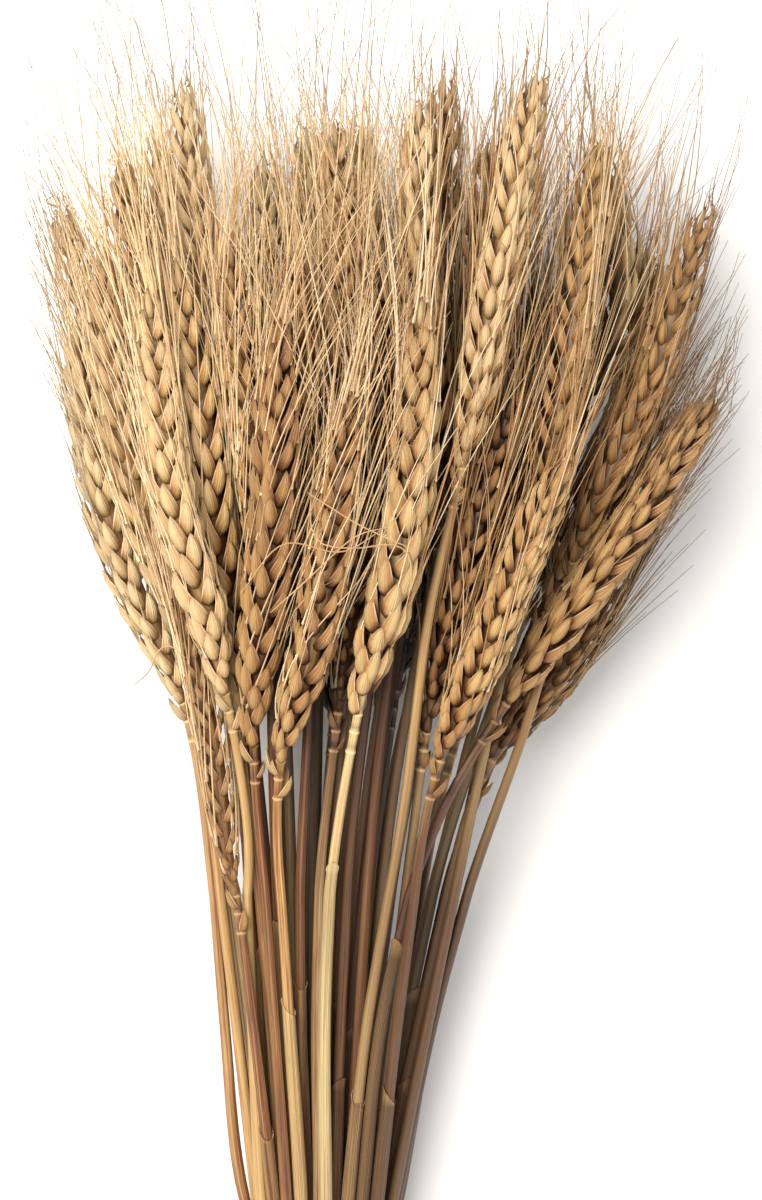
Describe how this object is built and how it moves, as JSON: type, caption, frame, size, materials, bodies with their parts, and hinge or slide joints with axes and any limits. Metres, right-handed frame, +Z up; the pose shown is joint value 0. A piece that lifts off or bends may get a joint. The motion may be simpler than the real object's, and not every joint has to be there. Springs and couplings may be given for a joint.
{
  "type": "bundle of dried wheat",
  "caption": "Bundle of dried bearded wheat with long awns, gathered at the waist by a twine tie and lying on its side.",
  "frame": {"origin": "point of the surface under the middle turn of the twine", "axes": "+Y along the bundle towards the ears, +Z up from the surface it lies on, +X across"},
  "size_m": [0.1862, 0.4103, 0.0975],
  "materials": {
    "pale_straw": "satin",
    "golden_straw": "satin",
    "green_grey_straw": "satin",
    "brown_straw": "satin",
    "twine": "matte"
  },
  "bodies": {
    "root": {"stalk_01": "golden_straw", "stalk_02": "golden_straw", "stalk_03": "brown_straw", "stalk_04": "golden_straw", "stalk_05": "pale_straw", "stalk_06": "pale_straw", "stalk_07": "golden_straw", "stalk_08": "golden_straw", "stalk_09": "golden_straw", "stalk_10": "brown_straw", "stalk_11": "golden_straw", "stalk_12": "brown_straw", "stalk_13": "golden_straw", "stalk_14": "golden_straw", "stalk_15": "pale_straw", "stalk_16": "brown_straw", "stalk_17": "pale_straw", "stalk_18": "golden_straw", "stalk_19": "golden_straw", "stalk_20": "brown_straw", "stalk_21": "brown_straw", "stalk_22": "golden_straw", "stalk_23": "pale_straw", "stalk_24": "green_grey_straw", "stalk_25": "golden_straw", "stalk_26": "brown_straw", "stalk_27": "green_grey_straw", "stalk_28": "golden_straw", "stalk_29": "brown_straw", "stalk_30": "pale_straw", "stalk_31": "golden_straw", "stalk_32": "golden_straw", "stalk_33": "brown_straw", "stalk_34": "golden_straw", "stalk_35": "brown_straw", "stalk_36": "green_grey_straw", "stalk_37": "green_grey_straw", "stalk_38": "golden_straw", "stalk_39": "brown_straw", "stalk_40": "pale_straw", "stalk_41": "green_grey_straw", "stalk_42": "pale_straw", "stalk_43": "golden_straw", "stalk_44": "golden_straw", "stalk_45": "pale_straw", "stalk_46": "brown_straw", "stalk_47": "green_grey_straw", "stalk_48": "golden_straw", "stalk_49": "brown_straw", "stalk_50": "golden_straw", "stalk_51": "green_grey_straw", "stalk_52": "golden_straw", "stalk_53": "green_grey_straw", "twine": "twine"}
  },
  "joints": []
}
